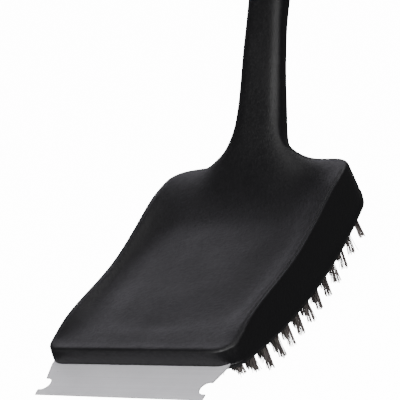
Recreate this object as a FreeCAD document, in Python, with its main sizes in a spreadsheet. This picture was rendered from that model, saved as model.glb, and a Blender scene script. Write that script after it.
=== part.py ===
import FreeCAD, Part
import math
import os
import Sketcher

# Grill cleaning brush: a dished resin head moulded in one piece with its rising handle, a
# rockered bristle plate screwed into the open underside, rows of wire tufts held by staples,
# and a notched steel scraper clamped under the front edge.
#
# Head frame: X across the head, Y from the scraper edge towards the handle, Z up, with Z = 0
# at the lowest point of the shell's lower edge.  Every sub-part is then shifted together so
# that the row's origin is at the bottom centre of the whole brush.

doc = FreeCAD.newDocument("grill_brush")
sheet = doc.addObject("Spreadsheet::Sheet", "dims")

SIZES = {
    # where the row's origin sits in the head frame
    "origin_back": 208.661,
    "origin_down": 20.9907,
    # head shell
    "head_length": 213.5,
    "front_width": 143.2,
    "back_width": 155.8,
    "front_corner": 12.0,
    "back_corner": 20.0,
    "back_lean": 8.0,
    "rocker_radius": 365.0,
    "rocker_centre": 90.5,
    "rim_front": 23.8,
    "rim_dip": 28.0,
    "rim_dip_back": 70.3,
    "rim_front_curve": 500.0,
    "rim_back_curve": 335.0,
    "rim_land": 6.0,
    "lip_drop": 0.4,
    "lip_length": 30.3,
    "floor_low": 21.0,
    "floor_low_back": 67.3,
    "floor_back": 214.0,
    "floor_curve": 224.0,
    "side_wall": 3.0,
    "front_wall": 2.4,
    "floor_skin": 2.6,
    "boss_radius": 4.5,
    "rib_thick": 2.0,
    # bristle plate
    "flange_thick": 2.0,
    "flange_inset": 0.8,
    "block_height": 9.0,
    "block_gap": 0.3,
    # wire tufts, their holes and staples
    "tuft_radius": 1.9,
    "tuft_flare": 2.3,
    "tuft_out": 19.0,
    "front_trim": 12.0,
    "trim_reach": 38.0,
    "hole_radius": 2.0,
    "hole_depth": 9.0,
    "staple_height": 1.6,
    "staple_thick": 0.6,
    "first_row": 12.8,
    "row_step": 7.3,
    "column_step": 14.55,
    "column_spread": 0.006,
    # scraper
    "blade_root": 134.4,
    "blade_tip": 126.0,
    "blade_out": 28.7,
    "blade_tang": 10.3,
    "blade_thick": 1.0,
    "blade_tilt": -6.8,
    "blade_height": 11.63,
    "notch_back": 13.6,
    "notch_length": 10.6,
    "notch_step": 2.2,
    "notch_radius": 5.5,
    "rivet_radius": 1.6,
    "rivet_head": 2.5,
    "rivet_back": 7.3,
    "rivet_grip": 2.4,
    # plate screws
    "screw_radius": 1.6,
    "screw_head": 3.0,
    "screw_head_height": 2.2,
    "screw_length": 17.0,
    # handle stations: place of the top line, half width, thickness, slope of the top line
    "root_y": 174.3, "root_z": 47.0, "root_half": 44.0, "root_thick": 20.0, "root_slope": 34.0,
    "shoulder_y": 200.3, "shoulder_z": 64.5, "shoulder_half": 29.0, "shoulder_thick": 24.0,
    "shoulder_slope": 43.0,
    "neck_y": 221.2, "neck_z": 85.8, "neck_half": 18.6, "neck_thick": 21.0, "neck_slope": 49.0,
    "waist_y": 250.1, "waist_z": 120.4, "waist_half": 15.6, "waist_thick": 17.2,
    "waist_slope": 50.0,
    "swell_y": 277.2, "swell_z": 151.5, "swell_half": 15.1, "swell_thick": 20.7,
    "swell_slope": 47.0,
    "palm_y": 341.3, "palm_z": 209.0, "palm_half": 16.0, "palm_thick": 25.0, "palm_slope": 34.0,
    "grip_y": 423.3, "grip_z": 256.5, "grip_half": 15.2, "grip_thick": 21.0, "grip_slope": 28.0,
    "tail_y": 439.3, "tail_z": 263.0, "tail_half": 11.2, "tail_thick": 16.0, "tail_slope": 24.0,
    "hang_hole_radius": 4.5,
    "hang_hole_y": 428.3,
    "hang_hole_z": 219.0,
}

STATIONS = ("root", "shoulder", "neck", "waist", "swell", "palm", "grip", "tail")
ROWS = 25
WIDE_ROW = 10
NARROW_ROW = 9
RIVET_COLUMNS = (-56.0, -28.0, 0.0, 28.0, 56.0)
SCREW_COLUMNS = (-3, 3)
SCREW_ROWS = (2, 12, 22)
RIB_COLUMNS = (-28.0, 28.0)
RIB_ROWS = (60.0, 128.0)

for number, (alias, value) in enumerate(SIZES.items(), start=1):
    sheet.set("A%d" % number, alias)
    sheet.set("B%d" % number, str(value))
    sheet.setAlias("B%d" % number, alias)
doc.recompute()


class Size:
    """A length that knows its value and the sheet expression that drives it."""

    def __init__(self, value, text):
        self.value = value
        self.text = text

    def combine(self, other, sign, value):
        return Size(value, "(%s %s %s)" % (self.text, sign, wrap(other).text))

    def __add__(self, other):
        return self.combine(other, "+", self.value + wrap(other).value)

    def __sub__(self, other):
        return self.combine(other, "-", self.value - wrap(other).value)

    def __mul__(self, other):
        return self.combine(other, "*", self.value * wrap(other).value)

    def __truediv__(self, other):
        return self.combine(other, "/", self.value / wrap(other).value)


def wrap(thing):
    return thing if isinstance(thing, Size) else Size(float(thing), "%.4f" % thing)


def dim(alias):
    return Size(float(sheet.get(alias)), "dims." + alias)


def root(size):
    return Size(math.sqrt(size.value), "sqrt(%s)" % size.text)


def drive(obj, prop, size):
    """Bind one property of an object to its sheet expression."""
    obj.setExpression(prop, wrap(size).text)


def lower_edge(y):
    """Height of the shell's rockered lower edge at a distance y behind the front."""
    radius = dim("rocker_radius")
    reach = wrap(y) - dim("rocker_centre")
    return radius - root(radius * radius - reach * reach)


def bulge_point(start, end, radius, side):
    """Middle of the arc from start to end that bulges left (1) or right (-1) of the way."""
    chord = end - start
    sagitta = radius - math.sqrt(radius ** 2 - (chord.Length / 2) ** 2)
    left = FreeCAD.Vector(-chord.y, chord.x, 0)
    left.normalize()
    return (start + end) * 0.5 + left * (side * sagitta)


def outline(sketch, steps):
    """Closed outline: steps are (x, y, edge), edge None for a line or (radius, side)."""
    count = len(steps)
    spots = [FreeCAD.Vector(wrap(x).value, wrap(y).value, 0) for x, y, edge in steps]
    ends = []
    for index, (x, y, edge) in enumerate(steps):
        here = spots[index]
        there = spots[(index + 1) % count]
        if edge is None:
            geo = sketch.addGeometry(Part.LineSegment(here, there), False)
        else:
            middle = bulge_point(here, there, wrap(edge[0]).value, edge[1])
            geo = sketch.addGeometry(Part.Arc(here, middle, there), False)
        forward = (sketch.getPoint(geo, 1) - here).Length < (sketch.getPoint(geo, 2) - here).Length
        ends.append((geo, 1, 2) if forward else (geo, 2, 1))
    for index, (x, y, edge) in enumerate(steps):
        geo, start, end = ends[index]
        for kind, size in (("DistanceX", wrap(x)), ("DistanceY", wrap(y))):
            rule = sketch.addConstraint(Sketcher.Constraint(kind, -1, 1, geo, start, size.value))
            name = "%s%d" % (kind[-1].lower(), index)
            sketch.renameConstraint(rule, name)
            sketch.setExpression("Constraints." + name, size.text)
        following = ends[(index + 1) % count]
        sketch.addConstraint(Sketcher.Constraint("Coincident", geo, end, following[0], following[1]))
        if edge is not None:
            radius = wrap(edge[0])
            rule = sketch.addConstraint(Sketcher.Constraint("Radius", geo, radius.value))
            sketch.renameConstraint(rule, "radius%d" % index)
            sketch.setExpression("Constraints.radius%d" % index, radius.text)
    return sketch


def rounded_box(x_low, x_high, y_low, y_high, radius):
    """Steps of a rounded rectangle, anticlockwise from the lower edge."""
    corner = (radius, -1)
    return [
        (x_low + radius, y_low, None), (x_high - radius, y_low, corner),
        (x_high, y_low + radius, None), (x_high, y_high - radius, corner),
        (x_high - radius, y_high, None), (x_low + radius, y_high, corner),
        (x_low, y_high - radius, None), (x_low, y_low + radius, corner),
    ]


def head_plan(front, side, back):
    """Steps of the head's plan outline, inset from its front, sides and back."""
    near = dim("front_width") / 2 - side
    far = dim("back_width") / 2 - side
    start = wrap(front)
    end = dim("head_length") - back
    near_round = dim("front_corner") - side
    far_round = dim("back_corner") - side
    return [
        (near * -1 + near_round, start, None), (near - near_round, start, (near_round, -1)),
        (near, start + near_round, None), (far, end - far_round, (far_round, -1)),
        (far - far_round, end, None), (far * -1 + far_round, end, (far_round, -1)),
        (far * -1, end - far_round, None), (near * -1, start + near_round, (near_round, -1)),
    ]


SIDE_VIEW = FreeCAD.Rotation(FreeCAD.Vector(0, 1, 0), FreeCAD.Vector(0, 0, 1),
                             FreeCAD.Vector(1, 0, 0), "XYZ")
BELOW = -40.0
ABOVE = 140.0
SIDEWAYS = 220.0
OVERHEAD = 340.0
# The moulding is kept as three touching stretches (head, neck, grip), so that the
# collision hulls follow the dish and the bend of the handle.
STRETCHES = (-60.0, 214.0, 330.0, 480.0)


def plan_solid(name, steps):
    """Upright prism over a plan outline, tall enough to cross the whole head."""
    sketch = doc.addObject("Sketcher::SketchObject", name + "_plan")
    sketch.Placement = FreeCAD.Placement(FreeCAD.Vector(0, 0, BELOW), FreeCAD.Rotation())
    outline(sketch, steps)
    prism = doc.addObject("Part::Extrusion", name + "_upright")
    prism.Base = sketch
    prism.DirMode = "Custom"
    prism.Dir = FreeCAD.Vector(0, 0, 1)
    prism.LengthFwd = ABOVE - BELOW
    prism.Solid = True
    return prism


def side_solid(name, steps):
    """Prism across the head over an outline drawn in side view."""
    sketch = doc.addObject("Sketcher::SketchObject", name + "_side")
    sketch.Placement = FreeCAD.Placement(FreeCAD.Vector(), SIDE_VIEW)
    outline(sketch, steps)
    prism = doc.addObject("Part::Extrusion", name + "_across")
    prism.Base = sketch
    prism.DirMode = "Custom"
    prism.Dir = FreeCAD.Vector(1, 0, 0)
    prism.LengthFwd = SIDEWAYS
    prism.Symmetric = True
    prism.Solid = True
    return prism


def common(name, *members):
    result = doc.addObject("Part::MultiCommon", name)
    result.Shapes = list(members)
    return result


def fuse(name, members):
    result = doc.addObject("Part::MultiFuse", name)
    result.Shapes = list(members)
    return result


def cut(name, base, tool):
    result = doc.addObject("Part::Cut", name)
    result.Base = base
    result.Tool = tool
    return result


def cylinder(name, radius, height, x, y, z):
    post = doc.addObject("Part::Cylinder", name)
    drive(post, "Radius", radius)
    drive(post, "Height", height)
    drive(post, "Placement.Base.x", x)
    drive(post, "Placement.Base.y", y)
    drive(post, "Placement.Base.z", z)
    return post


def box(name, x, y, z, length, width, height):
    block = doc.addObject("Part::Box", name)
    drive(block, "Length", length)
    drive(block, "Width", width)
    drive(block, "Height", height)
    drive(block, "Placement.Base.x", x)
    drive(block, "Placement.Base.y", y)
    drive(block, "Placement.Base.z", z)
    return block


def row_place(number):
    """Distance of a bristle row behind the front."""
    return dim("first_row") + dim("row_step") * number


def row_columns(number):
    """Column numbers of a row; every second row is shifted by half a step."""
    count = WIDE_ROW if number % 2 == 0 else NARROW_ROW
    return [index - (count - 1) / 2 for index in range(count)]


def column_place(row, column):
    """Distance of a column from the middle; the columns fan out with the head's sides."""
    return (dim("column_step") + row_place(row) * dim("column_spread")) * column


sub_parts = []


def finish_part(obj, label, up=0.0):
    """Name a finished sub-part and shift it from the head frame to the row's origin."""
    obj.Label = label
    drive(obj, "Placement.Base.y", dim("origin_back") * -1)
    drive(obj, "Placement.Base.z", dim("origin_down") + up)
    sub_parts.append(obj)


def group(name, members):
    """Several separate solids kept as one sub-part."""
    result = doc.addObject("Part::Compound", name)
    result.Links = list(members)
    return result


def tilt(obj, degrees):
    """Turn an object about X, through its own base point."""
    obj.Placement = FreeCAD.Placement(obj.Placement.Base,
                                      FreeCAD.Rotation(FreeCAD.Vector(1, 0, 0), 1.0))
    obj.setExpression("Placement.Rotation.Angle", "%s * 1 deg" % wrap(degrees).text)


# --- head and handle ---------------------------------------------------------------------

def rim_steps(drop, inset):
    """The rim from the leaning back wall to the front, lowered by drop and cut back by inset."""
    end = dim("head_length") - dim("back_lean") - inset
    back_rise = dim("rim_back_curve")
    reach = end - dim("rim_dip_back")
    back_top = dim("rim_dip") + back_rise - root(back_rise * back_rise - reach * reach)
    return [
        (end, back_top - drop, (dim("rim_back_curve"), 1)),
        (dim("rim_dip_back"), dim("rim_dip") - drop, (dim("rim_front_curve"), -1)),
        (wrap(0), dim("rim_front") - drop, None),
    ]


def head_side_steps():
    length = dim("head_length")
    return [
        (wrap(0), lower_edge(0), (dim("rocker_radius"), -1)),
        (length, lower_edge(length), None),
    ] + rim_steps(0, 0)


def floor_steps(drop, front):
    """Dish floor from the front lip to the foot of the neck, lowered by drop."""
    floor_curve = dim("floor_curve") + drop
    reach = dim("floor_back") - dim("floor_low_back")
    back_top = dim("floor_low") - drop + floor_curve - root(floor_curve * floor_curve - reach * reach)
    lip = dim("rim_front") - dim("lip_drop") - drop
    return [
        (dim("floor_back"), back_top, (floor_curve, 1)),
        (dim("floor_low_back"), dim("floor_low") - drop, None),
        (dim("lip_length"), lip, None),
        (wrap(front), lip, None),
    ]


def station_section(name):
    """Rounded cross-section of the handle, hanging from the top line at one station."""
    half = dim(name + "_half")
    thick = dim(name + "_thick")
    sketch = doc.addObject("Sketcher::SketchObject", name + "_section")
    slope = dim(name + "_slope")
    sketch.Placement = FreeCAD.Placement(
        FreeCAD.Vector(0, dim(name + "_y").value, dim(name + "_z").value),
        FreeCAD.Rotation(FreeCAD.Vector(1, 0, 0), 90 + slope.value))
    outline(sketch, rounded_box(half * -1, half, thick * -1, wrap(0), thick * 0.38))
    drive(sketch, "Placement.Base.y", dim(name + "_y"))
    drive(sketch, "Placement.Base.z", dim(name + "_z"))
    sketch.setExpression("Placement.Rotation.Angle", "(90 + dims.%s_slope) * 1 deg" % name)
    return sketch


def rocker_band(low, high):
    """Side outline of a band that follows the lower edge, from low to high above it."""
    outer = dim("rocker_radius") - low
    inner = dim("rocker_radius") - high
    start = wrap(-20)
    end = dim("head_length") + 20

    def height(radius, y):
        reach = y - dim("rocker_centre")
        return dim("rocker_radius") - root(radius * radius - reach * reach)

    return [
        (start, height(outer, start), (outer, -1)),
        (end, height(outer, end), None),
        (end, height(inner, end), (inner, 1)),
        (start, height(inner, start), None),
    ]


def blade_space(name, low, high):
    """Slot for the scraper's tang: low and high are measured from the blade's mid plane."""
    slot = box(name, (dim("blade_root") / 2 + 0.2) * -1, 0, 0,
               dim("blade_root") + 0.4, dim("blade_tang") + 20.3, wrap(high) - low)
    slope = Size(math.radians(dim("blade_tilt").value), "(dims.blade_tilt * pi / 180)")
    drive(slot, "Placement.Base.y", wrap(-20) * cosine(slope) + wrap(low) * sine(slope))
    drive(slot, "Placement.Base.z", dim("blade_height") + wrap(20) * sine(slope)
          + wrap(low) * cosine(slope))
    tilt(slot, dim("blade_tilt") * -1)
    return slot


def cosine(angle):
    return Size(math.cos(angle.value), "cos(%s * 1 rad)" % angle.text)


def sine(angle):
    return Size(math.sin(angle.value), "sin(%s * 1 rad)" % angle.text)


def make_shell():
    """Dished head and handle in one moulding, hollow below, with screw bosses and ribs."""
    outer = common("head_outer", plan_solid("head", head_plan(0, wrap(0), wrap(0))),
                   side_solid("head", head_side_steps()))
    dish_top = [(wrap(-30), wrap(ABOVE), None), (dim("floor_back"), wrap(ABOVE), None)]
    dish = common("dish_space",
                  plan_solid("dish", head_plan(-30, dim("rim_land"), wrap(-20))),
                  side_solid("dish", floor_steps(wrap(0), -30) + dish_top))
    tray = cut("tray", outer, dish)

    handle = doc.addObject("Part::Loft", "handle_loft")
    handle.Sections = [station_section(name) for name in STATIONS]
    handle.Solid = True
    handle.Ruled = False
    moulding = fuse("moulding", [tray, handle])

    wall = dim("side_wall")
    below = [(wrap(-30), wrap(BELOW), None), (dim("floor_back"), wrap(BELOW), None)]
    inner_back = dim("head_length") - wall
    under_rim = [(wrap(0), wrap(BELOW), None), (inner_back, wrap(BELOW), None),
                 (inner_back, lower_edge(inner_back), None)]
    cavity = common("cavity", plan_solid("cavity", head_plan(dim("front_wall"), wall, wall)),
                    side_solid("cavity", floor_steps(dim("floor_skin"), -30) + below),
                    side_solid("under_rim", rim_steps(dim("floor_skin"), wall) + under_rim))
    kept = []
    for row in SCREW_ROWS:
        for column in SCREW_COLUMNS:
            kept.append(cylinder("boss_%d_%d" % (row, column), dim("boss_radius"), ABOVE - BELOW,
                                 column_place(row, column), row_place(row), BELOW))
    for column in RIB_COLUMNS:
        kept.append(box("rib_long_%d" % column, wrap(column) - dim("rib_thick") / 2, 0, BELOW,
                        dim("rib_thick"), dim("head_length"), ABOVE - BELOW))
    for place in RIB_ROWS:
        kept.append(box("rib_cross_%d" % place, -SIDEWAYS / 2, wrap(place) - dim("rib_thick") / 2,
                        BELOW, SIDEWAYS, dim("rib_thick"), ABOVE - BELOW))
    hollow = cut("hollow", cavity, fuse("ribs_and_bosses", kept))

    seat = common("plate_seat", plan_solid("seat", head_plan(dim("front_wall"), wall, wall)),
                  side_solid("seat", rocker_band(wrap(-60), dim("block_height") + 0.2)))
    pilots = []
    for row in SCREW_ROWS:
        for column in SCREW_COLUMNS:
            pilots.append(cylinder("pilot_%d_%d" % (row, column), dim("screw_radius") + 0.05,
                                   dim("screw_length") + 1.0, column_place(row, column),
                                   row_place(row),
                                   lower_edge(row_place(row)) - dim("flange_thick")))
    hang = cylinder("hang_hole", dim("hang_hole_radius"), 60, 0, dim("hang_hole_y"),
                    dim("hang_hole_z"))
    tilt(hang, dim("grip_slope"))
    half_blade = dim("blade_thick") / 2 + 0.05
    slot = blade_space("shell_slot", half_blade * -1, half_blade)
    tool = fuse("shell_cuts", [hollow, seat, slot, hang] + pilots)
    shell = cut("shell", moulding, tool)
    stretches = []
    for number, (start, end) in enumerate(zip(STRETCHES, STRETCHES[1:]), start=1):
        space = box("space_%d" % number, -SIDEWAYS / 2, start, BELOW, SIDEWAYS, end - start,
                    OVERHEAD - BELOW)
        stretches.append(common("stretch_%d" % number, shell, space))
    finish_part(group("stretches", stretches), "head_and_handle")


def make_plate():
    """Rockered plate: a thin flange under the shell's edge and a drilled block inside it."""
    gap = dim("side_wall") + dim("block_gap")
    rim = dim("flange_inset")
    thick = dim("flange_thick")
    flange = common("flange", plan_solid("flange", head_plan(rim, rim, rim)),
                    side_solid("flange", rocker_band(thick * -1, wrap(-0.1))))
    block = common("block",
                   plan_solid("block", head_plan(dim("front_wall") + dim("block_gap"), gap, gap)),
                   side_solid("block", rocker_band(thick * -1, dim("block_height"))))
    holes = [blade_space("plate_slot", dim("blade_thick") * -0.5, wrap(60))]
    for row in range(ROWS):
        for column in row_columns(row):
            holes.append(cylinder("tuft_hole", dim("hole_radius"), dim("hole_depth") + 5,
                                  column_place(row, column), row_place(row),
                                  lower_edge(row_place(row)) - thick - 5))
    for row in SCREW_ROWS:
        face = lower_edge(row_place(row)) - thick
        for column in SCREW_COLUMNS:
            holes.append(cylinder("screw_way", dim("screw_radius") + 0.05, 30,
                                  column_place(row, column), row_place(row), face))
            holes.append(cylinder("head_way", dim("screw_head") + 0.15,
                                  dim("screw_head_height") + 5, column_place(row, column),
                                  row_place(row), face - 5))
    for column in RIVET_COLUMNS:
        holes.append(blade_post("rivet_way", column, dim("rivet_radius") + 0.05, -6, 6))
        holes.append(blade_post("rivet_seat", column, dim("rivet_head") + 0.1, -6,
                                dim("rivet_grip") * -1))
    finish_part(cut("plate", fuse("plate_body", [flange, block]), fuse("plate_holes", holes)),
                "bristle_plate")


def blade_post(name, column, radius, low, high):
    """Cylinder square to the blade at a rivet, from low to high about its mid plane."""
    slope = Size(math.radians(dim("blade_tilt").value), "(dims.blade_tilt * pi / 180)")
    back = dim("rivet_back")
    post = cylinder(name, radius, wrap(high) - low, column,
                    back * cosine(slope) + wrap(low) * sine(slope),
                    dim("blade_height") - back * sine(slope) + wrap(low) * cosine(slope))
    tilt(post, dim("blade_tilt") * -1)
    return post


def tuft_reach(row):
    """Free length of a row's tufts; the rows next to the scraper are cut shorter."""
    reach = dim("tuft_out")
    if row_place(row).value < dim("trim_reach").value:
        share = row_place(row) / dim("trim_reach")
        reach = reach - dim("front_trim") * (wrap(1) - share * share)
    return reach


def make_tufts():
    """Rows of wire tufts, each tuft one tapered solid that stands in its own hole."""
    held = dim("hole_depth") - dim("staple_height") - 0.1
    for row in range(ROWS):
        length = held + tuft_reach(row)
        tufts = []
        for column in row_columns(row):
            tuft = doc.addObject("Part::Cone", "tuft")
            drive(tuft, "Radius1", dim("tuft_flare"))
            drive(tuft, "Radius2", dim("tuft_radius"))
            drive(tuft, "Height", length)
            drive(tuft, "Placement.Base.x", column_place(row, column))
            drive(tuft, "Placement.Base.y", row_place(row))
            drive(tuft, "Placement.Base.z", lower_edge(row_place(row)) - dim("flange_thick")
                  - tuft_reach(row))
            tufts.append(tuft)
        finish_part(group("row", tufts), "bristle_row_%02d" % (row + 1))


def make_staples():
    """Flat wire staple at the bottom of every tuft hole, which the tuft is folded round."""
    staples = []
    for row in range(ROWS):
        for column in row_columns(row):
            width = dim("hole_radius") * 1.9
            staples.append(box("staple", column_place(row, column) - width / 2,
                               row_place(row) - dim("staple_thick") / 2,
                               lower_edge(row_place(row)) - dim("flange_thick")
                               + dim("hole_depth") - dim("staple_height"),
                               width, dim("staple_thick"), dim("staple_height")))
    finish_part(group("staples", staples), "tuft_staples")


def make_rivets():
    rivets = []
    half = dim("blade_thick") / 2
    for column in RIVET_COLUMNS:
        rivets.append(fuse("rivet", [
            blade_post("shank", column, dim("rivet_radius"), dim("rivet_grip") * -1, half),
            blade_post("rivet_foot", column, dim("rivet_head"), dim("rivet_grip") * -1 - 0.9,
                       dim("rivet_grip") * -1),
            blade_post("rivet_top", column, dim("rivet_head"), half, half + 0.9)]))
    finish_part(group("rivets", rivets), "scraper_rivets")


def make_screws():
    """Pan screws whose heads sit flush in the plate, with cross recesses."""
    screws = []
    for row in SCREW_ROWS:
        face = lower_edge(row_place(row)) - dim("flange_thick")
        for column in SCREW_COLUMNS:
            place = column_place(row, column)
            shank = cylinder("shank", dim("screw_radius"), dim("screw_length"), place,
                             row_place(row), face)
            head = cylinder("head", dim("screw_head"), dim("screw_head_height"), place,
                            row_place(row), face)
            arm = dim("screw_head") * 0.6
            cross = [box("cross", place - arm, row_place(row) - 0.35, face - 1,
                         arm * 2, 0.7, 2.2),
                     box("cross", place - 0.35, row_place(row) - arm, face - 1,
                         0.7, arm * 2, 2.2)]
            screws.append(cut("screw", fuse("screw_blank", [shank, head]), fuse("recess", cross)))
    finish_part(group("screws", screws), "plate_screws")


def make_scraper():
    """Stainless plate with a half-round notch in each side, clamped by its tang."""
    body = doc.addObject("PartDesign::Body", "scraper")
    plane = [f for f in body.Origin.OriginFeatures if f.Role == "XY_Plane"][0]
    sketch = body.newObject("Sketcher::SketchObject", "blade_outline")
    sketch.AttachmentSupport = [(plane, "")]
    sketch.MapMode = "FlatFace"
    near = dim("blade_root") / 2
    far = dim("blade_tip") / 2
    step = dim("notch_step")
    tang = dim("blade_tang")
    tip = dim("blade_out") * -1
    top = dim("notch_back") * -1
    end = top - dim("notch_length")
    bite = (dim("notch_radius"), 1)
    outline(sketch, [
        (far * -1, tip, None), (far, tip, None),
        (far, end, None), (far - step, end, bite),
        (far - step, top, None), (far, top, None),
        (near, wrap(0), None), (near, tang, None),
        (near * -1, tang, None), (near * -1, wrap(0), None),
        (far * -1, top, None), (far * -1 + step, top, bite),
        (far * -1 + step, end, None), (far * -1, end, None),
    ])
    pad = body.newObject("PartDesign::Pad", "blade_pad")
    pad.Profile = sketch
    pad.Midplane = True
    drive(pad, "Length", dim("blade_thick"))
    doc.recompute()
    edge_name = front_edge(pad.Shape, tip.value, dim("blade_thick").value / 2)
    bevel = body.newObject("PartDesign::Chamfer", "blade_bevel")
    bevel.Base = (pad, [edge_name])
    bevel.ChamferType = "Two distances"
    bevel.Size = 0.6
    bevel.Size2 = 2.5
    doc.recompute()
    holes = body.newObject("Sketcher::SketchObject", "rivet_holes")
    holes.AttachmentSupport = [(plane, "")]
    holes.MapMode = "FlatFace"
    for index, column in enumerate(RIVET_COLUMNS):
        ring(holes, index, wrap(column), dim("rivet_back"), dim("rivet_radius") + 0.05)
    pocket = body.newObject("PartDesign::Pocket", "rivet_pocket")
    pocket.Profile = holes
    pocket.Midplane = True
    pocket.Length = 4
    body.Tip = pocket
    finish_part(body, "scraper_blade", dim("blade_height"))
    tilt(body, dim("blade_tilt") * -1)


def ring(sketch, index, x, y, radius):
    """Circle pinned to its place and radius."""
    centre = FreeCAD.Vector(x.value, y.value, 0)
    geo = sketch.addGeometry(Part.Circle(centre, FreeCAD.Vector(0, 0, 1), radius.value), False)
    for kind, size in (("DistanceX", x), ("DistanceY", y)):
        rule = sketch.addConstraint(Sketcher.Constraint(kind, -1, 1, geo, 3, size.value))
        name = "centre%s%d" % (kind[-1].lower(), index)
        sketch.renameConstraint(rule, name)
        sketch.setExpression("Constraints." + name, size.text)
    rule = sketch.addConstraint(Sketcher.Constraint("Radius", geo, radius.value))
    sketch.renameConstraint(rule, "size%d" % index)
    sketch.setExpression("Constraints.size%d" % index, radius.text)


def front_edge(shape, y, z):
    """Name of the straight edge at the scraper's upper front."""
    for number, edge in enumerate(shape.Edges, start=1):
        middle = edge.CenterOfMass
        if abs(middle.y - y) < 0.01 and abs(middle.z - z) < 0.01 and edge.Length > 50:
            return "Edge%d" % number
    raise RuntimeError("the scraper has no front edge")


make_shell()
make_plate()
make_scraper()
make_rivets()
make_screws()
make_tufts()
make_staples()
doc.recompute()

for obj in doc.Objects:
    if "Invalid" in obj.State or "Error" in obj.State:
        raise RuntimeError("%s failed: %s" % (obj.Name, obj.State))
for obj in sub_parts:
    if obj.Shape.isNull() or not obj.Shape.isValid():
        raise RuntimeError("%s has a bad shape" % obj.Label)

os.makedirs("parts", exist_ok=True)
whole = FreeCAD.BoundBox()
for obj in sub_parts:
    obj.Shape.exportStep("parts/%s.step" % obj.Label)
    whole.add(obj.Shape.BoundBox)
    print("%-18s solids %3d volume %9.1f" % (obj.Label, len(obj.Shape.Solids), obj.Shape.Volume))
print("whole", whole)
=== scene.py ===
import math
import random

import bmesh
import bpy
from mathutils import Matrix, Vector


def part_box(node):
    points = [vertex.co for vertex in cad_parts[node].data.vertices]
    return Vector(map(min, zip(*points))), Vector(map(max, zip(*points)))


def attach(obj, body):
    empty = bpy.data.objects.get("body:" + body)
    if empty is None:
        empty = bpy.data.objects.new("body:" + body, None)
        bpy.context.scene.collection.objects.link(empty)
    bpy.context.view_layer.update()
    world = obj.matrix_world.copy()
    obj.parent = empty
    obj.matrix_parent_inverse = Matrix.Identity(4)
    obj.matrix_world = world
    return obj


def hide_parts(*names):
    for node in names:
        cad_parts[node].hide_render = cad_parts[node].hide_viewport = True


# Looks of the grill cleaning brush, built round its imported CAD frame.  The moulded head and
# handle and the rows of wire tufts are replaced by detailed meshes; the bristle plate, the
# scraper, the rivets, the screws and the staples keep their CAD shape under new materials.
#
# Lengths in the tables are millimetres in the head's own frame: X across, Y from the head's
# front face towards the handle, Z up from the lowest point of the shell's lower edge.

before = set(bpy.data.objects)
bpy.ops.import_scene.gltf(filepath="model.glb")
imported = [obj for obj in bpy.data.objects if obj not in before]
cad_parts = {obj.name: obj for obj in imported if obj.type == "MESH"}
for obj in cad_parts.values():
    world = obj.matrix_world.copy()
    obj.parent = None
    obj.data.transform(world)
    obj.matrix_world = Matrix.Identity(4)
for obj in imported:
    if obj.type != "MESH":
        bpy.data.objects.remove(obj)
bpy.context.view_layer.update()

MM = 0.001
SHELL_LOW, SHELL_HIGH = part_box("head_and_handle")


def spot(x, y, z):
    """A point of the head's frame, in metres in the row's frame."""
    return Vector((x * MM, SHELL_LOW.y + y * MM, SHELL_LOW.z + z * MM))


# --- shape of the head ---------------------------------------------------------------------

BASE_LENGTH = 213.5
BACK_LEAN = 2.5
TOP_LENGTH = BASE_LENGTH - BACK_LEAN
FRONT_HALF = 71.6
BACK_HALF = SHELL_HIGH.x / MM
TOP_FRONT_HALF = 71.6
TOP_BACK_HALF = 77.5
FRONT_CORNER = 12.0
BACK_CORNER = 20.0
TOP_FRONT_CORNER = 13.5
TOP_BACK_CORNER = 26.0
ROCKER_RADIUS = 365.0
ROCKER_CENTRE = 90.5
SEAT_HEIGHT = 9.25
WALL = 3.0

# heights along the head: (distance from the front, height)
RIM_LINE = [(0, 22.9), (12, 23.4), (20, 25.0), (28, 26.5), (36, 27.6), (46, 28.3), (58, 28.6),
            (73, 28.8), (88, 29.3), (103, 30.7), (117, 33.2), (131, 36.3), (145, 39.7),
            (158, 43.0), (168, 45.2), (180, 47.0), (192, 47.9), (202, 48.1), (211, 47.8)]
PAN_LINE = [(0, 22.4), (14, 22.5), (20, 22.6), (25, 22.4), (31, 21.5), (38, 21.0), (60, 20.7),
            (76, 21.2), (94, 22.6), (112, 25.0), (130, 28.6), (146, 32.8), (160, 37.4),
            (174, 41.4), (188, 44.2), (200, 45.4), (211, 45.6)]
RIDGE_LINE = [(0, 20), (146, 32.2), (158, 36.6), (170, 42.2), (182, 49.4), (192, 57.2),
              (201, 65.6), (211, 75.6)]
FLARE_WIDTH = [(0, 60), (152, 50), (172, 45), (187, 41), (199, 35), (211, 22)]
WALL_BAND = [(0, 20), (32, 24), (112, 28), (152, 32), (182, 38), (211, 45)]

# profiles across the rim: (distance in from the outer wall, height above the rim line), for
# the sides, the front lip and the back
RIM_PROFILE = [(0, -0.8), (0.6, 0.1), (1.5, -0.12), (2.1, -0.6), (2.8, 0.05), (4.2, 0.3),
               (6.5, 0.2), (9, 0), (12, 0), (16, 0), (21, 0)]
LIP_PROFILE = [(0, -1.6), (0.7, -0.75), (1.5, -0.3), (2.3, -0.1), (3.1, 0), (4.5, 0.05),
               (6.5, 0), (9, 0), (12, 0), (16, 0), (21, 0)]
BACK_PROFILE = [(0, -3.4), (0.7, -1.8), (1.5, -1.0), (2.3, -0.55), (3.1, -0.25), (4.5, -0.05),
                (6.5, 0), (9, 0), (12, 0), (16, 0), (21, 0)]
INSETS = [distance for distance, height in RIM_PROFILE]
BAND_START = 3.5
# the crease behind the front lip bows towards the handle at the sides, and fades out
CREASE_REACH = 12.0
CREASE_HALF = 60.0
CREASE_FADE = (40, 90)
# where along the head the front wall rises, the front lip ends and the rim turns softer
FRONT_RISE = (2.0, 9.0)
LIP_END = (10, 32)
BACK_START = (160, 200)
BELL_POWER = 5

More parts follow.
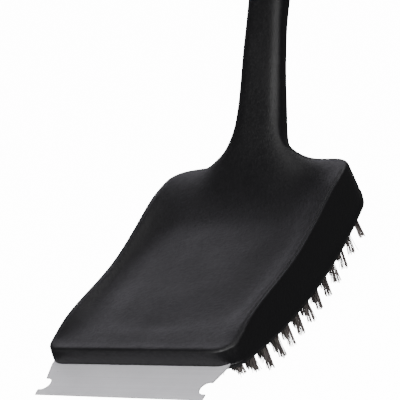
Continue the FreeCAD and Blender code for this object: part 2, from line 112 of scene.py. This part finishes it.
# grid lines between the rim bands
INNER_COLUMNS = [-0.84, -0.69, -0.545, -0.4, -0.267, -0.133, 0, 0.133, 0.267, 0.4, 0.545, 0.69,
                 0.84]
INNER_ROWS = [27, 33, 40, 49, 60, 72, 86, 100, 114, 128, 142, 155, 167, 179]

# outer wall from the rim down: (share of the height, outward step)
WALL_RINGS = [(0.10, 0.0), (0.25, 0.15), (0.45, 0.2), (0.65, 0.15), (0.84, 0.0), (0.90, 0.0),
              (0.925, 0.35), (0.985, 0.35), (1.0, 0.1)]

# handle stations: (y, z, half width, thickness, slope in degrees), y and z on the top line
HANDLE = [(211.0, 75.3, 20.2, 22.5, 47.0), (216, 80.5, 19.4, 22.0, 48.0),
          (223.2, 88.1, 18.5, 21.2, 49.0), (234.3, 101.4, 17.4, 19.4, 50.0),
          (250.1, 120.4, 16.6, 18.0, 50.0), (263.3, 135.9, 15.7, 18.9, 49.0),
          (277.2, 151.5, 15.6, 21.0, 47.5), (306.3, 181.0, 16.0, 23.8, 42.0),
          (341.3, 209.0, 16.4, 25.6, 34.0), (382.3, 234.8, 16.0, 24.0, 30.5),
          (423.3, 256.5, 15.4, 21.4, 28.0), (436.3, 262.3, 13.6, 18.6, 25.0)]
HANDLE_TIP = [(440.1, 263.0, 11.8, 15.4, 24.0), (441.7, 262.6, 8.6, 10.6, 24.0)]
RING_STEP = 11.0
# corner radii of the handle's section, as shares of its thickness
TOP_ROUND = 0.36
UNDER_ROUND = 0.46
# the patch of the head's grid that the handle grows out of
PATCH_INSET = 9
PATCH_COLUMNS = 3
PATCH_RINGS = 2
# hang hole: middle, half length, and (travel along the half length, radius) of its cutter
HANG_HOLE = (0, 416.56, 241.08)
HOLE_HALF_LENGTH = 11.4
HOLE_SIDES = 48
HOLE_PROFILE = [(-1.6, 9.5), (-1.0, 6.0), (-0.93, 5.1), (-0.82, 4.6), (0, 4.5),
                (0.82, 4.6), (0.93, 5.1), (1.0, 6.0), (1.6, 9.5)]


def along(table, place):
    """Smooth value of a table at a place, with level ends."""
    keys = [key for key, value in table]
    values = [value for key, value in table]
    if place <= keys[0]:
        return values[0]
    if place >= keys[-1]:
        return values[-1]
    index = max(i for i, key in enumerate(keys) if key <= place)
    step = keys[index + 1] - keys[index]
    share = (place - keys[index]) / step

    def slope(i):
        if i == 0:
            return (values[1] - values[0]) / (keys[1] - keys[0])
        if i == len(keys) - 1:
            return (values[-1] - values[-2]) / (keys[-1] - keys[-2])
        return (values[i + 1] - values[i - 1]) / (keys[i + 1] - keys[i - 1])

    square, cube = share ** 2, share ** 3
    return (values[index] * (2 * cube - 3 * square + 1)
            + slope(index) * step * (cube - 2 * square + share)
            + values[index + 1] * (3 * square - 2 * cube)
            + slope(index + 1) * step * (cube - square))


def ease(low, high, value):
    """0 below low, 1 above high, smooth between."""
    share = min(max((value - low) / (high - low), 0.0), 1.0)
    return share * share * (3 - 2 * share)


def half_width(y, share=0.0):
    """Half width of the head's outline, from the top (share 0) to the lower edge (1)."""
    top = TOP_FRONT_HALF + (TOP_BACK_HALF - TOP_FRONT_HALF) * y / TOP_LENGTH
    base = FRONT_HALF + (BACK_HALF - FRONT_HALF) * y / BASE_LENGTH
    return top + (base - top) * share


def leaned(y, share):
    """Place along the head of a point lower down the back wall, which leans out."""
    reach = (y - (TOP_LENGTH - BACK_CORNER)) / BACK_CORNER
    return y + BACK_LEAN * share * min(max(reach, 0.0), 1.0)


def lower_edge(y):
    """Height of the shell's rockered lower edge at a distance y behind the front."""
    return ROCKER_RADIUS - math.sqrt(ROCKER_RADIUS ** 2 - (y - ROCKER_CENTRE) ** 2)


def rounded(x, y, share):
    """A point of the square grid moved so that the grid's corners are round."""
    front = TOP_FRONT_CORNER + (FRONT_CORNER - TOP_FRONT_CORNER) * share
    back = TOP_BACK_CORNER + (BACK_CORNER - TOP_BACK_CORNER) * share
    for corner, high in ((front, False), (back, True)):
        centre_y = TOP_LENGTH - corner if high else corner
        centre_x = math.copysign(half_width(y, share) - corner, x)
        across = (x - centre_x) * math.copysign(1, x)
        over = (y - centre_y) if high else (centre_y - y)
        if across > 0 and over > 0:
            scale = max(across, over) / math.hypot(across, over)
            return (centre_x + (x - centre_x) * scale, centre_y + (y - centre_y) * scale)
    return x, y


def top_height(x, y, inset):
    """Height of the dish, its rims and the shoulders."""
    reach = abs(x) / CREASE_HALF
    shift = CREASE_REACH * reach * reach * (1 - ease(*CREASE_FADE, y))
    pan = along(PAN_LINE, y - shift)
    rim = along(RIM_LINE, y)
    band = along(WALL_BAND, y)
    side_inset = half_width(y) - abs(x)
    share = min(max(1 - (side_inset - BAND_START) / band, 0.0), 1.0) ** 2
    share = max(share, 1 - ease(*FRONT_RISE, y))
    height = pan + (rim - pan) * share
    ridge = along(RIDGE_LINE, y)
    bell = 0.0
    if ridge > height:
        bell = 1 / (1 + (abs(x) / along(FLARE_WIDTH, y)) ** BELL_POWER)
        height += (ridge - height) * bell
    back = ease(*BACK_START, y)
    lip = 1 - ease(*LIP_END, y)
    profile = (along(RIM_PROFILE, inset) * (1 - back) * (1 - lip)
               + along(LIP_PROFILE, inset) * lip
               + along(BACK_PROFILE, inset) * back * (1 - bell))
    return height + profile


def grid_lines():
    """Column and row lines as (kind, value): insets from a side, or inner places."""
    columns = [("low", inset) for inset in INSETS]
    columns += [("inner", share) for share in INNER_COLUMNS]
    columns += [("high", inset) for inset in reversed(INSETS)]
    rows = [("low", inset) for inset in INSETS]
    rows += [("inner", place) for place in INNER_ROWS]
    rows += [("high", inset) for inset in reversed(INSETS)]
    return columns, rows


def grid_spot(column, row, share=0.0):
    """Plan place of a grid crossing, from the top (share 0) to the lower edge (share 1)."""
    kind, value = row
    y = value if kind != "high" else TOP_LENGTH - value
    half = half_width(y, share)
    kind, value = column
    if kind == "inner":
        x = value * (half - INSETS[-1])
    else:
        x = (half - value) * (-1 if kind == "low" else 1)
    return rounded(x, y, share)


def edge_inset(column, row):
    """Distance in from the nearest side of the grid."""
    values = [value for kind, value in (column, row) if kind != "inner"]
    return min(values) if values else INSETS[-1]


def around(last_column, last_row):
    """Grid indices once round the border, anticlockwise from the front left corner."""
    return ([(i, 0) for i in range(last_column)]
            + [(last_column, j) for j in range(last_row)]
            + [(i, last_row) for i in range(last_column, 0, -1)]
            + [(0, j) for j in range(last_row, 0, -1)])


def section(station, steps):
    """Points round the handle at a station; steps are (across -1 to 1, down 0 to 1)."""
    y, z, half, thick, slope = station
    angle = math.radians(slope)
    points = []
    for across, down in steps:
        x, depth = across * half, down * thick
        top = TOP_ROUND * thick
        under = UNDER_ROUND * thick
        radius, centre = (top, top) if depth < thick / 2 else (under, thick - under)
        side = abs(x) - (half - radius)
        over = abs(depth - thick / 2) - abs(centre - thick / 2)
        if side > 0 and over > 0:
            scale = max(side, over) / math.hypot(side, over)
            x = math.copysign(half - radius + side * scale, x)
            depth = centre + (depth - centre) * scale
        points.append(Vector((x, y + depth * math.sin(angle), z - depth * math.cos(angle))))
    return points


def make_head():
    """Quad cage of head and handle, to be subdivided."""
    mesh = bmesh.new()
    columns, rows = grid_lines()
    last_column, last_row = len(columns) - 1, len(rows) - 1
    middle = last_column // 2
    top = {}
    for i, column in enumerate(columns):
        for j, row in enumerate(rows):
            x, y = grid_spot(column, row)
            inset = edge_inset(column, row)
            top[i, j] = mesh.verts.new(spot(x, y, top_height(x, y, inset)))

    patch_low = last_row - INSETS.index(PATCH_INSET)

    def in_patch(i, j):
        return abs(i + 0.5 - middle) < PATCH_COLUMNS and j >= patch_low

    for i in range(last_column):
        for j in range(last_row):
            if not in_patch(i, j):
                mesh.faces.new((top[i, j], top[i + 1, j], top[i + 1, j + 1], top[i, j + 1]))

    # outer wall, lower edge, inside of the wall
    border = around(last_column, last_row)
    count = len(border)
    rings = [[top[place] for place in border]]
    for share, out in WALL_RINGS:
        ring = []
        for i, j in border:
            x, y = grid_spot(columns[i], rows[j])
            high = top_height(x, y, 0)
            x, y = grid_spot(columns[i], rows[j], share)
            y = leaned(y, share)
            low = lower_edge(y)
            push_x = math.copysign(out, x) if i in (0, last_column) else 0
            push_y = -out if j == 0 else (out if j == last_row else 0)
            ring.append(mesh.verts.new(spot(x + push_x, y + push_y,
                                            high + (low - high) * share)))
        rings.append(ring)

    def inside(i, j, lift):
        x, y = grid_spot(columns[i], rows[j], 1.0)
        y = leaned(y, 1.0)
        return mesh.verts.new(spot(x * (1 - WALL / half_width(y, 1.0)),
                                   WALL + y * (1 - 2 * WALL / BASE_LENGTH),
                                   lower_edge(y) + lift))

    for lift in (0.0, SEAT_HEIGHT):
        rings.append([inside(i, j, lift) for i, j in border])
    start = border.index((middle + PATCH_COLUMNS, last_row))
    stop = border.index((middle - PATCH_COLUMNS, last_row))
    for level in range(len(rings) - 1):
        for k in range(count):
            n = (k + 1) % count
            if level < PATCH_RINGS and start <= k < stop:
                continue
            mesh.faces.new((rings[level][n], rings[level][k],
                            rings[level + 1][k], rings[level + 1][n]))

    # roof over the plate
    roof = {place: rings[-1][k] for k, place in enumerate(border)}
    for i in range(1, last_column):
        for j in range(1, last_row):
            roof[i, j] = inside(i, j, SEAT_HEIGHT)
    for i in range(last_column):
        for j in range(last_row):
            mesh.faces.new((roof[i, j + 1], roof[i + 1, j + 1], roof[i + 1, j], roof[i, j]))

    # handle, drawn out of the patch at the back
    left, right = middle - PATCH_COLUMNS, middle + PATCH_COLUMNS
    side_rows = list(range(patch_low + 1, last_row + 1))
    loop = [top[i, patch_low] for i in range(left, right + 1)]
    loop += [top[right, j] for j in side_rows]
    loop += [rings[level][start] for level in range(1, PATCH_RINGS + 1)]
    loop += [rings[PATCH_RINGS][k] for k in range(start + 1, stop + 1)]
    loop += [rings[level][stop] for level in range(PATCH_RINGS - 1, 0, -1)]
    loop += [top[left, j] for j in reversed(side_rows)]
    wide = 2 * PATCH_COLUMNS
    tall = len(side_rows) + PATCH_RINGS
    steps = [(-1 + 2 * k / wide, 0) for k in range(wide + 1)]
    steps += [(1, (k + 1) / tall) for k in range(tall)]
    steps += [(1 - 2 * (k + 1) / wide, 1) for k in range(wide)]
    steps += [(-1, 1 - (k + 1) / tall) for k in range(tall - 1)]
    keys = []
    travel = 0.0
    for index, station in enumerate(HANDLE):
        if index:
            before = HANDLE[index - 1]
            travel += math.hypot(station[0] - before[0], station[1] - before[1])
        keys.append(travel)
    splits = int(travel / RING_STEP)
    stations = []
    for k in range(splits + 1):
        place = travel * k / splits
        stations.append([along(list(zip(keys, column)), place) for column in zip(*HANDLE)])
    ring = loop
    for station in stations + HANDLE_TIP:
        following = [mesh.verts.new(spot(*point)) for point in section(station, steps)]
        for k in range(len(ring)):
            n = (k + 1) % len(ring)
            mesh.faces.new((ring[k], ring[n], following[n], following[k]))
        ring = following
    mesh.faces.new(ring)

    bmesh.ops.recalc_face_normals(mesh, faces=mesh.faces)
    data = bpy.data.meshes.new("head_moulding_cage")
    mesh.to_mesh(data)
    mesh.free()
    return data


def finished(name, data, modifiers, sharp=40):
    """Object from a mesh with its modifiers applied, smooth apart from sharp edges."""
    obj = bpy.data.objects.new(name, data)
    bpy.context.scene.collection.objects.link(obj)
    for kind, values in modifiers:
        modifier = obj.modifiers.new(kind.lower(), kind)
        for key, value in values.items():
            setattr(modifier, key, value)
    evaluated = obj.evaluated_get(bpy.context.evaluated_depsgraph_get())
    result = bpy.data.meshes.new_from_object(evaluated)
    obj.modifiers.clear()
    obj.data = result
    result.name = name
    for polygon in result.polygons:
        polygon.use_smooth = True
    result.set_sharp_from_angle(angle=math.radians(sharp))
    return obj


def hole_cutter():
    """Round cutter for the hang hole, with flared ends that leave soft edges."""
    slope = math.radians(HANDLE[-2][4])
    axis = Vector((0, -math.sin(slope), math.cos(slope)))
    middle = spot(*HANG_HOLE)
    mesh = bmesh.new()
    half_length = HOLE_HALF_LENGTH * MM
    rings = []
    for travel, radius in HOLE_PROFILE:
        ring = []
        for k in range(HOLE_SIDES):
            turn = 2 * math.pi * k / HOLE_SIDES
            across = Vector((math.cos(turn), 0, 0))
            other = axis.cross(Vector((1, 0, 0))) * math.sin(turn)
            ring.append(mesh.verts.new(middle + axis * travel * half_length
                                       + (across + other) * radius * MM))
        rings.append(ring)
    for before, after in zip(rings, rings[1:]):
        for k in range(HOLE_SIDES):
            n = (k + 1) % HOLE_SIDES
            mesh.faces.new((before[k], before[n], after[n], after[k]))
    mesh.faces.new(list(reversed(rings[0])))
    mesh.faces.new(rings[-1])
    bmesh.ops.recalc_face_normals(mesh, faces=mesh.faces)
    data = bpy.data.meshes.new("hole_cutter")
    mesh.to_mesh(data)
    mesh.free()
    cutter = bpy.data.objects.new("hole_cutter", data)
    bpy.context.scene.collection.objects.link(cutter)
    return cutter


# --- wire tufts ------------------------------------------------------------------------------

ROWS = 25
WIDE_ROW = 10
NARROW_ROW = 9
TUFT_FLARE = 2.3 * MM
TUFT_HELD = 7.3 * MM
SEED = 41

# one bundle: wires in a sunflower pattern, three-sided, crimped, cut to uneven lengths
WIRES = 28
WIRE_RADIUS = 0.24 * MM
WIRE_SIDES = 3
BUNDLE_RADIUS = 2.0 * MM
GOLDEN_TURN = 2.39996
TURN_JITTER = 0.3
SEGMENTS = 8
CRIMP = 0.12 * MM
CRIMP_LENGTH = 3.2 * MM
CRIMP_START = 6
SPREAD = (0.4, 1.3)
STRAY_SHARE = 0.03
STRAY_SPREAD = 3.0
UNEVEN_CUT = 1.3
DRIFT = 0.35
BOW_POWER = 1.6

# how bundles lean and splay: everywhere, and more at the ends of the last rows
LEAN_JITTER = 0.03
END_POWER = 6
LAST_ROWS = (0.9, 1.0)
END_LEAN = 0.1
BACK_LEAN_ANGLE = 0.05
SPLAY = 0.2
SPLAY_END = 0.25
SPLAY_BACK = 0.3
SPLAY_JITTER = 0.3


def tuft(rng, x, y, tip, root, lean_x, lean_y, splay, verts, faces):
    """One bundle of crimped wires from root down to tip."""
    exit_height = root - TUFT_HELD
    reach = exit_height - tip
    for number in range(WIRES):
        turn = number * GOLDEN_TURN + rng.uniform(-TURN_JITTER, TURN_JITTER)
        radius = BUNDLE_RADIUS * math.sqrt((number + 0.5) / WIRES)
        out_x, out_y = math.cos(turn), math.sin(turn)
        spread = splay * rng.uniform(*SPREAD)
        if rng.random() < STRAY_SHARE:
            spread *= STRAY_SPREAD
        end = tip + rng.uniform(0.0, UNEVEN_CUT) * MM
        phase = rng.uniform(0, 2 * math.pi)
        wave = rng.uniform(0, 2 * math.pi)
        drift_x, drift_y = rng.gauss(0, DRIFT) * MM, rng.gauss(0, DRIFT) * MM
        first = len(verts)
        for k in range(SEGMENTS + 1):
            height = root + (end - root) * k / SEGMENTS
            below = max(exit_height - height, 0.0)
            share = below / reach
            bow = share ** BOW_POWER
            sway = (CRIMP * math.sin(height / CRIMP_LENGTH * 2 * math.pi + phase)
                    * min(share * CRIMP_START, 1))
            cx = (x + out_x * radius + (out_x * spread + drift_x) * bow + lean_x * below
                  + sway * math.cos(wave))
            cy = (y + out_y * radius + (out_y * spread + drift_y) * bow + lean_y * below
                  + sway * math.sin(wave))
            for side in range(WIRE_SIDES):
                angle = turn + side * 2 * math.pi / WIRE_SIDES
                verts.append((cx + WIRE_RADIUS * math.cos(angle),
                              cy + WIRE_RADIUS * math.sin(angle), height))
        for k in range(SEGMENTS):
            for side in range(WIRE_SIDES):
                a = first + k * WIRE_SIDES + side
                b = first + k * WIRE_SIDES + (side + 1) % WIRE_SIDES
                faces.append((a, b, b + WIRE_SIDES, a + WIRE_SIDES))
        faces.append((first, first + 2, first + 1))
        last = first + SEGMENTS * WIRE_SIDES
        faces.append((last, last + 1, last + 2))


def make_rows(material):
    """One piece of wire bundles for each bristle row, in place of its CAD tufts."""
    rng = random.Random(SEED)
    for row in range(ROWS):
        node = "bristle_row_%02d" % (row + 1)
        low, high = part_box(node)
        count = WIDE_ROW if row % 2 == 0 else NARROW_ROW
        y = (low.y + high.y) / 2
        verts, faces = [], []
        for column in range(count):
            share = 2 * column / (count - 1) - 1
            x = (low.x + TUFT_FLARE) + (high.x - low.x - 2 * TUFT_FLARE) * column / (count - 1)
            outer = abs(share) ** END_POWER
            back = row / (ROWS - 1)
            last = ease(*LAST_ROWS, back)
            lean_x = rng.gauss(0, LEAN_JITTER) + math.copysign(outer * END_LEAN * last, share)
            lean_y = rng.gauss(0, LEAN_JITTER) + BACK_LEAN_ANGLE * last
            splay = (SPLAY + SPLAY_END * outer + SPLAY_BACK * back * outer
                     + rng.uniform(0, SPLAY_JITTER)) * MM
            tuft(rng, x, y, low.z, high.z, lean_x, lean_y, splay, verts, faces)
        data = bpy.data.meshes.new("wires_%02d" % (row + 1))
        data.from_pydata(verts, [], faces)
        data.materials.append(material)
        obj = bpy.data.objects.new("wires_%02d" % (row + 1), data)
        bpy.context.scene.collection.objects.link(obj)
        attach(obj, "root")
        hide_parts(node)


# --- materials -------------------------------------------------------------------------------

class Nodes:
    """Short ways to add and join the nodes of one material."""

    def __init__(self, name):
        self.material = bpy.data.materials.new(name)
        self.material.use_nodes = True
        self.tree = self.material.node_tree
        self.shader = self.tree.nodes["Principled BSDF"]
        self.coords = self.add("ShaderNodeTexCoord").outputs["Object"]

    def add(self, kind, **settings):
        """New node; a setting is one of its properties or the value of an input."""
        node = self.tree.nodes.new(kind)
        for key, value in settings.items():
            if key in node.bl_rna.properties:
                setattr(node, key, value)
            else:
                node.inputs[key.replace("_", " ")].default_value = value
        return node

    def join(self, source, target):
        self.tree.links.new(source, target)

    def stretched(self, scale):
        """Object coordinates scaled along each axis."""
        mapping = self.add("ShaderNodeMapping", Scale=scale)
        self.join(self.coords, mapping.inputs["Vector"])
        return mapping.outputs["Vector"]

    def noise(self, scale, detail=4.0, rough=0.5, coords=None):
        node = self.add("ShaderNodeTexNoise", Scale=scale, Detail=detail, Roughness=rough)
        self.join(coords or self.coords, node.inputs["Vector"])
        return node.outputs["Fac"]

    def band(self, source, low, high, start=0.0, end=1.0):
        """A value from low to high mapped to start to end."""
        node = self.add("ShaderNodeMapRange", From_Min=low, From_Max=high, To_Min=start,
                        To_Max=end)
        self.join(source, node.inputs["Value"])
        return node.outputs["Result"]

    def mixed(self, share, first, second):
        node = self.add("ShaderNodeMix", data_type="RGBA")
        for socket, value in ((node.inputs[6], first), (node.inputs[7], second)):
            if isinstance(value, bpy.types.NodeSocket):
                self.join(value, socket)
            else:
                socket.default_value = (*value, 1)
        self.join(share, node.inputs[0])
        return node.outputs[2]

    def total(self, first, second, kind="ADD"):
        """Two values or sockets put together by one Math node."""
        node = self.add("ShaderNodeMath", operation=kind)
        for socket, value in zip(node.inputs, (first, second)):
            if isinstance(value, bpy.types.NodeSocket):
                self.join(value, socket)
            else:
                socket.default_value = value
        return node.outputs[0]

    def bump(self, height, strength, distance):
        node = self.add("ShaderNodeBump", Strength=strength, Distance=distance)
        self.join(height, node.inputs["Height"])
        self.join(node.outputs["Normal"], self.shader.inputs["Normal"])


# noise scales of the resin, per metre
FLOW_SCALE, CLOUD_SCALE, MOTTLE_SCALE, SPECK_SCALE, GATE_SCALE = 14.0, 38.0, 420.0, 900.0, 22.0
FLOW_STRETCH = (1.0, 0.35, 1.0)
SCRATCH_STRETCH = (36.0, 420.0, 90.0)
# strengths of the resin's marks
TINT_DARK, TINT_PALE = 0.85, 1.18
SPECK_SHARE, SCUFF_SHARE, EDGE_SHARE = 0.35, 0.35, 0.5
GRAIN_ROUGH, MOTTLE_ROUGH = 0.03, 0.05
RESIN_BUMP, RESIN_RELIEF = 0.6, 0.00025
# brushed metal: finer second lines, stains, specks
FINE_LINES = 2.6
STAIN_SCALE, METAL_SPECK_SCALE = 45.0, 700.0
METAL_SPECK_SHARE, METAL_SPECK_DARK = 0.4, 0.5
METAL_RELIEF = 0.00004


def resin(name, colour, worn, roughness, grain):
    """Satin moulded plastic: fine grain, faint flow marks, specks, scuffs and pale edges."""
    made = Nodes(name)
    grain_noise = made.noise(grain, 3.0, 0.6)
    flow = made.noise(FLOW_SCALE, 3.0, 0.5, made.stretched(FLOW_STRETCH))
    cloud = made.noise(CLOUD_SCALE, 4.0, 0.55)
    speck = made.band(made.noise(SPECK_SCALE, 1.0, 0.4), 0.74, 0.80)
    scratch_coords = made.stretched(SCRATCH_STRETCH)
    scratch = made.band(made.noise(1.0, 2.0, 0.4, scratch_coords), 0.72, 0.76)
    scratch_gate = made.band(made.noise(GATE_SCALE, 1.0, 0.5), 0.56, 0.66)
    scuff = made.total(scratch, scratch_gate, "MULTIPLY")
    geometry = made.add("ShaderNodeNewGeometry")
    edge = made.band(geometry.outputs["Pointiness"], 0.53, 0.60)
    edge_worn = made.total(edge, made.band(cloud, 0.40, 0.62), "MULTIPLY")
    tint = made.mixed(made.band(flow, 0.3, 0.7), [c * TINT_DARK for c in colour],
                      [c * TINT_PALE for c in colour])
    marks = made.total(made.total(speck, SPECK_SHARE, "MULTIPLY"),
                       made.total(scuff, SCUFF_SHARE, "MULTIPLY"), "MAXIMUM")
    marks = made.total(marks, made.total(edge_worn, EDGE_SHARE, "MULTIPLY"), "MAXIMUM")
    made.join(made.mixed(marks, tint, worn), made.shader.inputs["Base Color"])
    rough = made.band(cloud, 0.3, 0.7, roughness - 0.04, roughness + 0.05)
    mottle = made.noise(MOTTLE_SCALE, 3.0, 0.6)
    rough = made.total(rough, made.band(grain_noise, 0.3, 0.7, -GRAIN_ROUGH, GRAIN_ROUGH))
    rough = made.total(rough, made.band(mottle, 0.3, 0.7, -MOTTLE_ROUGH, MOTTLE_ROUGH))
    made.join(rough, made.shader.inputs["Roughness"])
    relief = made.total(made.total(grain_noise, made.total(mottle, 1.5, "MULTIPLY")),
                        made.total(scuff, -0.5, "MULTIPLY"))
    made.bump(relief, RESIN_BUMP, RESIN_RELIEF)
    return made.material


def brushed(name, dark, pale, roughness, stretch, metal=1.0, bump=0.15):
    """Brushed or drawn metal: fine lines one way, stains and small scratches."""
    made = Nodes(name)
    lines = made.noise(1.0, 5.0, 0.65, made.stretched(stretch))
    fine = made.noise(1.0, 2.0, 0.5, made.stretched([s * FINE_LINES for s in stretch]))
    stain = made.noise(STAIN_SCALE, 4.0, 0.6)
    speck = made.band(made.noise(METAL_SPECK_SCALE, 2.0, 0.5), 0.70, 0.76)
    shade = made.total(made.band(lines, 0.25, 0.75, 0.0, 0.6),
                       made.band(stain, 0.3, 0.7, 0.0, 0.4))
    tone = made.mixed(shade, dark, pale)
    marks = made.total(speck, METAL_SPECK_SHARE, "MULTIPLY")
    made.join(made.mixed(marks, tone, [c * METAL_SPECK_DARK for c in dark]),
              made.shader.inputs["Base Color"])
    made.shader.inputs["Metallic"].default_value = metal
    rough = made.total(made.band(stain, 0.3, 0.7, roughness - 0.03, roughness + 0.05),
                       made.band(fine, 0.3, 0.7, -0.05, 0.06))
    made.join(rough, made.shader.inputs["Roughness"])
    made.bump(made.total(lines, fine), bump, METAL_RELIEF)
    return made.material


def paint(node, material):
    """Give a carried-over CAD node its material."""
    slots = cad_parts[node].material_slots
    for place in slots:
        place.material = material
    if not slots:
        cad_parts[node].data.materials.append(material)


# --- camera, floor and light -----------------------------------------------------------------

# the photograph's camera; the offset runs from it to the head frame's origin, in millimetres
# to its right, up and ahead
CAMERA_AZIMUTH = 36.015
CAMERA_ELEVATION = 21.663
CAMERA_ROLL = -18.798
CAMERA_OFFSET = (-35.896, -112.680, 803.801)
FOCAL_PIXELS = 1292.37
IMAGE_PIXELS = 400
SENSOR = 36.0
CLIP = (0.01, 50.0)


def make_camera():
    """Camera at the photograph's viewing angle."""
    azimuth, elevation, roll = (math.radians(a) for a in
                                (CAMERA_AZIMUTH, CAMERA_ELEVATION, CAMERA_ROLL))
    level = Vector((math.cos(azimuth), math.sin(azimuth), 0))
    ahead = Vector((-math.sin(azimuth) * math.cos(elevation),
                    math.cos(azimuth) * math.cos(elevation), -math.sin(elevation)))
    upright = level.cross(ahead)
    right = level * math.cos(roll) + upright * math.sin(roll)
    up = upright * math.cos(roll) - level * math.sin(roll)
    place = -(right * CAMERA_OFFSET[0] + up * CAMERA_OFFSET[1] + ahead * CAMERA_OFFSET[2])
    data = bpy.data.cameras.new("camera")
    data.sensor_width = SENSOR
    data.lens = FOCAL_PIXELS * SENSOR / IMAGE_PIXELS
    data.clip_start, data.clip_end = CLIP
    camera = bpy.data.objects.new("camera", data)
    bpy.context.scene.collection.objects.link(camera)
    turn = Matrix((right, up, -ahead)).transposed().to_4x4()
    camera.matrix_world = Matrix.Translation(spot(*place)) @ turn
    bpy.context.scene.camera = camera


def area_light(name, place, target, size, watts, colour):
    """Soft rectangular light at a place, aimed at a target."""
    data = bpy.data.lights.new(name, "AREA")
    data.shape = "RECTANGLE"
    data.size, data.size_y = size
    data.energy = watts
    data.color = colour
    light = bpy.data.objects.new(name, data)
    bpy.context.scene.collection.objects.link(light)
    direction = Vector(target) - Vector(place)
    light.matrix_world = (Matrix.Translation(place)
                          @ direction.to_track_quat("-Z", "Y").to_matrix().to_4x4())


FLOOR_SIZE = 12.0
FLOOR_DROP = 0.0005
FLOOR_GREY = 0.9
FLOOR_ROUGHNESS = 0.9
FLOOR_SPECULAR = 0.1
FLOOR_GLOW = 14.0
WORLD_LEVEL = 0.09
WHITE = (1, 1, 1)

# lights: (name, place, target, size, watts, colour)
LIGHTS = [
    ("back_softbox", (-0.95, 1.25, 0.75), (0, -0.1, 0.03), (1.5, 1.0), 3.9, (0.93, 0.90, 1.0)),
    ("back_top", (0.08, 1.2, 1.06), (0, 0, 0.03), (0.45, 0.35), 1.5, WHITE),
    ("overhead", (0.45, 0.0, 1.5), (0, 0, 0.05), (1.2, 1.2), 5.6, WHITE),
    ("front_fill", (-0.9, -1.2, 0.3), (0, -0.1, 0.05), (1.0, 0.8), 1.4, (0.95, 0.93, 1.0)),
    ("front_key", (0.35, -1.15, 0.95), (0, -0.2, 0.05), (1.3, 0.8), 17, WHITE),
    ("side_low", (1.15, -0.45, 0.5), (0.05, -0.1, 0.0), (0.6, 0.4), 5, WHITE),
]


def make_stage():
    """Pale glowing floor, a world that shows as bright only to the camera, and the lights."""
    bpy.ops.mesh.primitive_plane_add(size=FLOOR_SIZE, location=(0, 0, -FLOOR_DROP))
    floor = bpy.context.object
    floor.name = "floor"
    material = bpy.data.materials.new("pale_floor")
    material.use_nodes = True
    shader = material.node_tree.nodes["Principled BSDF"]
    shader.inputs["Base Color"].default_value = (FLOOR_GREY, FLOOR_GREY, FLOOR_GREY, 1)
    shader.inputs["Roughness"].default_value = FLOOR_ROUGHNESS
    shader.inputs["Specular IOR Level"].default_value = FLOOR_SPECULAR
    shader.inputs["Emission Color"].default_value = (*WHITE, 1)
    shader.inputs["Emission Strength"].default_value = FLOOR_GLOW
    floor.data.materials.append(material)
    floor.visible_glossy = False
    floor.visible_diffuse = False
    world = bpy.data.worlds.new("studio")
    world.use_nodes = True
    background = world.node_tree.nodes["Background"]
    background.inputs["Color"].default_value = (*WHITE, 1)
    path = world.node_tree.nodes.new("ShaderNodeLightPath")
    level = world.node_tree.nodes.new("ShaderNodeMapRange")
    level.inputs["To Min"].default_value = WORLD_LEVEL
    level.inputs["To Max"].default_value = FLOOR_GLOW
    world.node_tree.links.new(path.outputs["Is Camera Ray"], level.inputs["Value"])
    world.node_tree.links.new(level.outputs["Result"], background.inputs["Strength"])
    bpy.context.scene.world = world
    for light in LIGHTS:
        area_light(*light)


# --- build -----------------------------------------------------------------------------------

black = resin("black_resin", (0.0042, 0.0040, 0.0050), (0.03, 0.03, 0.032), 0.40, 1500.0)
plate_black = resin("plate_resin", (0.011, 0.011, 0.012), (0.05, 0.05, 0.052), 0.5, 1900.0)
blade_steel = brushed("stainless", (0.74, 0.73, 0.77), (0.93, 0.92, 0.96), 0.42,
                      (9.0, 900.0, 900.0), metal=0.25)
plated = brushed("plated_steel", (0.34, 0.34, 0.35), (0.60, 0.60, 0.62), 0.36,
                 (300.0, 300.0, 60.0))
wire = brushed("bristle_wire", (0.03, 0.026, 0.024), (0.56, 0.50, 0.48), 0.42,
               (1300.0, 1300.0, 90.0), metal=0.15, bump=0.1)

SUBDIVISIONS = 2
head = finished("head_moulding", make_head(),
                [("SUBSURF", {"levels": SUBDIVISIONS, "render_levels": SUBDIVISIONS})])
cutter = hole_cutter()
head = finished("head_and_handle_moulding", head.data,
                [("BOOLEAN", {"object": cutter, "operation": "DIFFERENCE", "solver": "EXACT"})])
for leftover in (cutter, bpy.data.objects["head_moulding"]):
    bpy.data.objects.remove(leftover)
head.data.materials.clear()
head.data.materials.append(black)
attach(head, "root")
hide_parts("head_and_handle")

make_rows(wire)
for node, material in (("bristle_plate", plate_black), ("scraper_blade", blade_steel),
                       ("scraper_rivets", plated), ("plate_screws", plated),
                       ("tuft_staples", plated)):
    paint(node, material)

make_stage()
make_camera()
